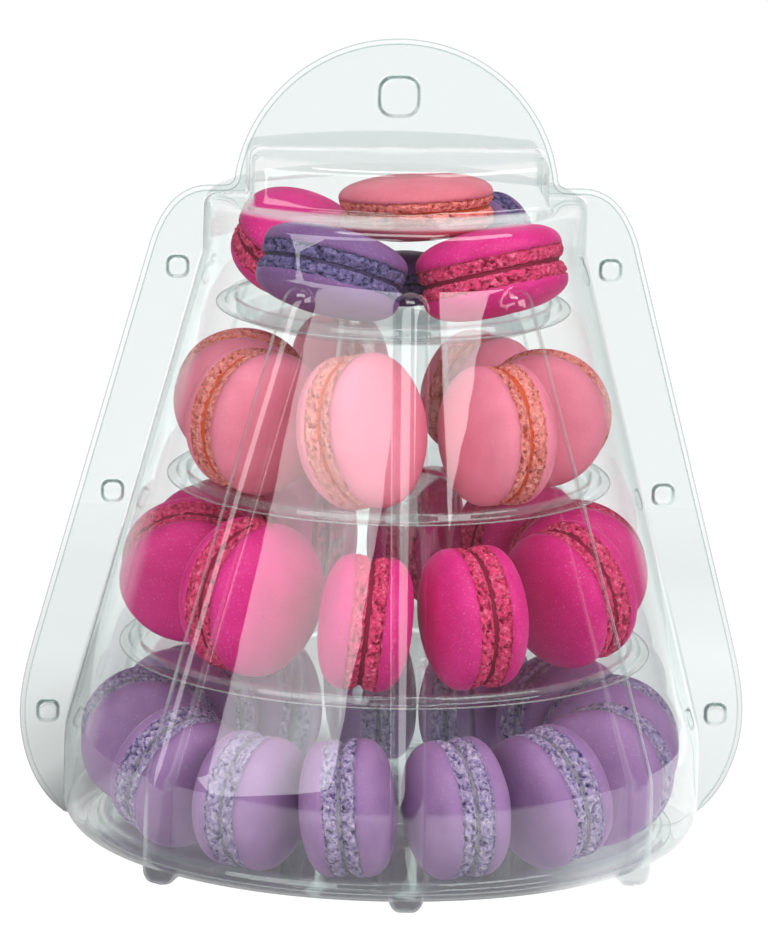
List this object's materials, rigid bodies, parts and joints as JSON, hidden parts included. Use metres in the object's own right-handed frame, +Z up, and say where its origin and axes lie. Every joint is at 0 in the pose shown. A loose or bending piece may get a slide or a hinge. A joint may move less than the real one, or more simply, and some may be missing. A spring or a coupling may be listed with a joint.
{
  "type": "macaron tower",
  "caption": "Macaron tower: rings of filled macarons on stacked clear trays with hollow risers, inside a clear snap-together carrier case with ribs, feet and a round handle.",
  "frame": {"origin": "on the table, under the middle of the case, level with the feet's flat ends", "axes": "+Z up, -Y towards the case's front half, +X to the right seen from the front, in the plane of the split"},
  "size_m": [0.247, 0.226, 0.2729],
  "materials": {
    "clear_case": "clear gloss",
    "clear_tray": "clear gloss",
    "rose": "matte baked shell",
    "magenta": "matte baked shell",
    "lilac": "matte baked shell",
    "lavender": "matte baked shell",
    "coral": "matte baked shell",
    "plum": "matte baked shell"
  },
  "bodies": {
    "root": {"case_front": "clear_case", "case_back": "clear_case", "tray_1": "clear_tray", "tray_2": "clear_tray", "tray_3": "clear_tray", "tray_4": "clear_tray", "macaron_1_1": "lavender", "macaron_1_2": "magenta", "macaron_1_3": "plum", "macaron_1_4": "coral", "macaron_1_5": "magenta", "macaron_1_6": "lavender", "macaron_2_1": "rose", "macaron_2_2": "rose", "macaron_2_3": "rose", "macaron_2_4": "rose", "macaron_2_5": "rose", "macaron_2_6": "rose", "macaron_2_7": "rose", "macaron_3_1": "magenta", "macaron_3_2": "magenta", "macaron_3_3": "magenta", "macaron_3_4": "magenta", "macaron_3_5": "magenta", "macaron_3_6": "magenta", "macaron_3_7": "magenta", "macaron_3_8": "magenta", "macaron_3_9": "magenta", "macaron_3_10": "magenta", "macaron_4_1": "lilac", "macaron_4_2": "lilac", "macaron_4_3": "lilac", "macaron_4_4": "lilac", "macaron_4_5": "lilac", "macaron_4_6": "lilac", "macaron_4_7": "lilac", "macaron_4_8": "lilac", "macaron_4_9": "lilac", "macaron_4_10": "lilac", "macaron_4_11": "lilac", "macaron_4_12": "lilac", "macaron_4_13": "lilac"}
  },
  "joints": []
}
